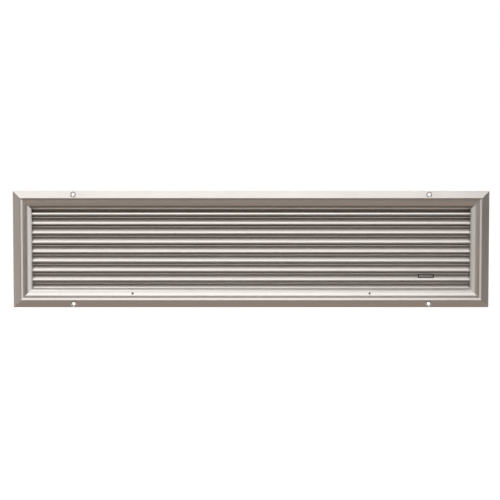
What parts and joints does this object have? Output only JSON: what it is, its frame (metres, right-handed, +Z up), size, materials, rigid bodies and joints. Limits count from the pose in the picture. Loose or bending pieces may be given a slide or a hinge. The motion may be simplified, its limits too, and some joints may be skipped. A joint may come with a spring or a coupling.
{
  "type": "louvred air grille",
  "caption": "Long satin anodised aluminium louvred air grille: a mitred frame with a rolled inner edge, and fixed sloping blades that let air through and shed water.",
  "frame": {"origin": "middle of the grille, on the plane of the wall that the flange lies against", "axes": "+X along the grille to the right as seen from the front, +Y into the wall, +Z up"},
  "size_m": [0.644, 0.0351, 0.158],
  "materials": {
    "satin_anodised": "satin anodised, drawn along the extrusion",
    "mill_aluminium": "mill finish, punched sheet",
    "stainless_steel": "plain stainless steel",
    "dark_plate": "dark satin plate with a paler middle"
  },
  "bodies": {
    "root": {"frame_rail_top": "satin_anodised", "frame_rail_bottom": "satin_anodised", "frame_rail_left": "satin_anodised", "frame_rail_right": "satin_anodised", "louvre_blade_1": "satin_anodised", "louvre_blade_2": "satin_anodised", "louvre_blade_3": "satin_anodised", "louvre_blade_4": "satin_anodised", "louvre_blade_5": "satin_anodised", "louvre_blade_6": "satin_anodised", "louvre_blade_7": "satin_anodised", "louvre_blade_8": "satin_anodised", "louvre_blade_9": "satin_anodised", "end_comb_left": "mill_aluminium", "end_comb_right": "mill_aluminium", "corner_key_top_left": "stainless_steel", "corner_key_top_right": "stainless_steel", "corner_key_bottom_left": "stainless_steel", "corner_key_bottom_right": "stainless_steel", "set_screw_top_left_across": "stainless_steel", "set_screw_top_left_upright": "stainless_steel", "set_screw_top_right_across": "stainless_steel", "set_screw_top_right_upright": "stainless_steel", "set_screw_bottom_left_across": "stainless_steel", "set_screw_bottom_left_upright": "stainless_steel", "set_screw_bottom_right_across": "stainless_steel", "set_screw_bottom_right_upright": "stainless_steel", "comb_screw_left_upper": "stainless_steel", "comb_screw_left_lower": "stainless_steel", "comb_screw_right_upper": "stainless_steel", "comb_screw_right_lower": "stainless_steel", "blank_plate": "dark_plate"}
  },
  "joints": []
}
